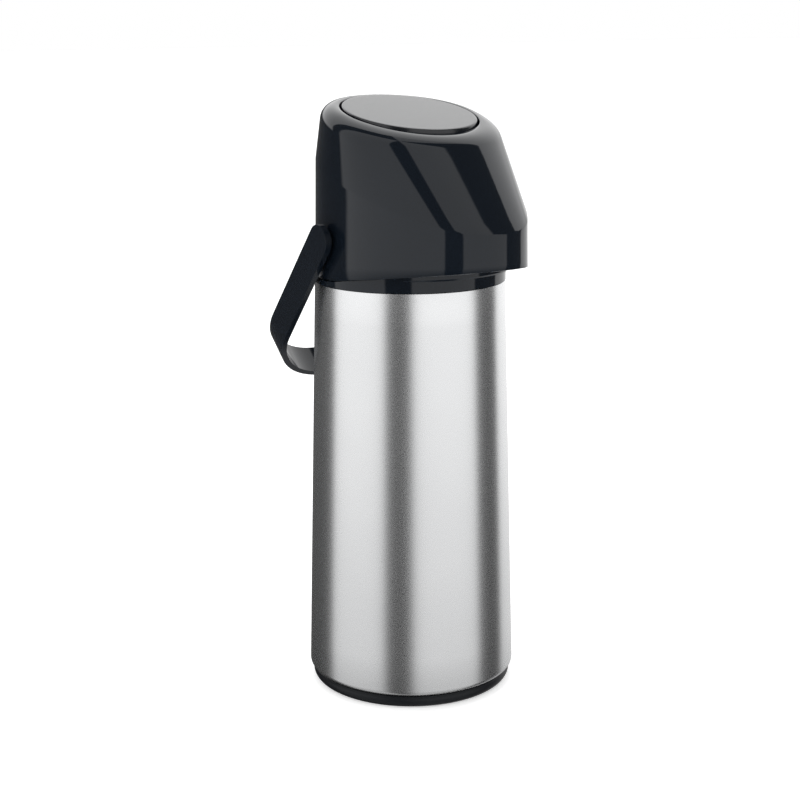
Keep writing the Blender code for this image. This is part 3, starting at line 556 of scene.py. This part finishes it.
def make_foot(look):
    """Ring under the skin: hook, bead that shows, rest face and inner wall, as (radius, z)."""
    profile = [(54.0 * MM, 11 * MM), (55.0 * MM, 10 * MM), (55.0 * MM, 8.2 * MM), (53.9 * MM, 8.2 * MM)]
    profile += [(53.9 * MM, 7.1 * MM), (55.3 * MM, 7.1 * MM), (55.6 * MM, 6.8 * MM)]
    profile += arc((51.2 * MM, 4.4 * MM), 4.4 * MM, radians(18), -pi / 2, 12)
    profile += [(47.0 * MM, 0.0), (47.0 * MM, 3 * MM), (40.3 * MM, 3 * MM), (40.3 * MM, 18 * MM)]
    profile += [(42.5 * MM, 18 * MM), (42.5 * MM, 11 * MM)]
    mesh = turned("foot_ring", profile)
    return add_piece("foot_ring", mesh, look, "flask", ["base_ring"], 40.0)


# ---------------------------------------------------------------- bail

BAIL_PIVOT_Z, BAIL_LEAN, BAIL_HALF_SPAN, BAIL_THICKNESS = 251.3 * MM, radians(41.0), 57.2 * MM, 3.2 * MM
BAIL_HALF_WIDTH, BAIL_LENGTH, BAIL_CORNER = 8.9 * MM, 108.0 * MM, 39.5 * MM


def bail_half(inset):
    """Points (x, distance from the pivot) along half of the strap, at this inset from its outer face."""
    straight = BAIL_LENGTH - BAIL_CORNER
    side = BAIL_HALF_SPAN - inset
    round_end = (4, 8, 13, 19, 26, 34, 43, 53, 63, 72, 81, 90)
    points = [(-side, -BAIL_HALF_WIDTH * cos(radians(a))) for a in round_end]
    points += [(-side, straight * i / 6) for i in range(1, 6)]
    for i in range(33):
        angle = pi / 2 * i / 32
        radius = BAIL_CORNER - inset
        x = BAIL_CORNER - BAIL_HALF_SPAN - radius * cos(angle)
        points.append((x, straight + radius * sin(angle)))
    return points


def make_bail(look):
    """Strap with softened edges, hanging at its lean, and the stubs that it turns on."""
    outer, inner = bail_half(0.0), bail_half(BAIL_THICKNESS)
    outer += [(-x, s) for x, s in outer[::-1]]
    inner += [(-x, s) for x, s in inner[::-1]]
    down = Vector((0, sin(BAIL_LEAN), -cos(BAIL_LEAN)))
    across = Vector((0, cos(BAIL_LEAN), sin(BAIL_LEAN)))
    pivot = Vector((0, 0, BAIL_PIVOT_Z))
    rows = []
    for (xo, so), (xi, si) in zip(outer, inner):
        half = BAIL_HALF_WIDTH if so >= 0 else sqrt(max(BAIL_HALF_WIDTH**2 - so**2, 0.0))
        corners = [(xo, so, -half), (xo, so, half), (xi, si, half), (xi, si, -half)]
        rows.append([pivot + Vector((x, 0, 0)) + s * down + w * across for x, s, w in corners])
    mesh = skinned("bail_strap", rows, False)
    piece = add_piece("bail_strap", mesh, look, "bail", ["handle"], 40.0)
    modifier = piece.modifiers.new("soft_edges", "BEVEL")
    modifier.width = 0.5 * MM
    modifier.segments = 3
    modifier.limit_method = "ANGLE"
    modifier.angle_limit = radians(50)
    modifier.harden_normals = True
    for side in (-1, 1):
        bm = bmesh.new()
        rings = []
        for radius, depth in ((2.7, 51.9), (3.0, 52.2), (3.0, 56.4)):
            around = [(radius * MM * cos(a), radius * MM * sin(a) + BAIL_PIVOT_Z) for a in turns(48)]
            rings.append([bm.verts.new((side * depth * MM, y, z)) for y, z in around])
        for low, high in zip(rings, rings[1:]):
            for i in range(48):
                bm.faces.new((low[i], low[(i + 1) % 48], high[(i + 1) % 48], high[i]))
        bm.faces.new(rings[0])
        bm.faces.new(rings[-1])
        add_piece(f"bail_stub_{side + 2}", mesh_of(bm, "bail_stub"), look, "bail", [])


# ---------------------------------------------------------------- everything


def main():
    bpy.context.scene.view_settings.view_transform = "Standard"
    make_camera()
    make_world()
    make_floor()
    make_light("overhead", (0.3, 0.6, 1.6), 1.4, 6.0)
    make_light("fill_left", (-1.4, -0.9, 0.9), 1.0, 5.0)
    black = polished_plastic("polished_black", (0.0045, 0.007, 0.011), 0.06, 1.4)
    satin = polished_plastic("satin_black_top", (0.006, 0.008, 0.011), 0.22, 1.5)
    matte = textured_plastic("matte_black", (0.005, 0.006, 0.008), 0.42)
    matte.node_tree.nodes["Principled BSDF"].inputs["Specular IOR Level"].default_value = 0.25
    white = textured_plastic("white_moulding", (0.74, 0.74, 0.72), 0.4, 900.0, 0.1)
    rubber = textured_plastic("grey_rubber", (0.12, 0.12, 0.12), 0.75, 700.0, 0.4)
    bright = metal("drawn_steel", (0.7, 0.7, 0.71), 0.2)
    steel = grained_steel("stainless_skin")
    make_hood(black)
    make_button(satin)
    make_skin(steel)
    make_foot(matte)
    make_bail(black)
    refined("collar_ring", "collar", black, "flask", 0.25 * MM)
    refined("latch_lip", "latch", black, "release_latch", 0.25 * MM)
    others = {
        "base_cap": matte,
        "refill_cushion": rubber,
        "neck_gasket": rubber,
        "stopper_gasket": rubber,
        "pipe_gasket": rubber,
        "air_gasket": rubber,
        "glass_refill": silvered_glass(),
        "hinge_pin": bright,
        "stopper": white,
        "dip_tube": bright,
        "valve_ball": bright,
        "pump_carrier": white,
        "spout_pipe": white,
        "spout_nozzle": matte,
        "nose_cover": matte,
        "press_plate": white,
        "vent_flap": rubber,
        "bellows": rubber,
        "pump_spring": bright,
        "latch_spring": bright,
    }
    for number in range(1, 5):
        others[f"carrier_screw_{number}"] = bright
    for name, look in others.items():
        data = nodes[name].data
        data.materials.clear()
        data.materials.append(look)


main()
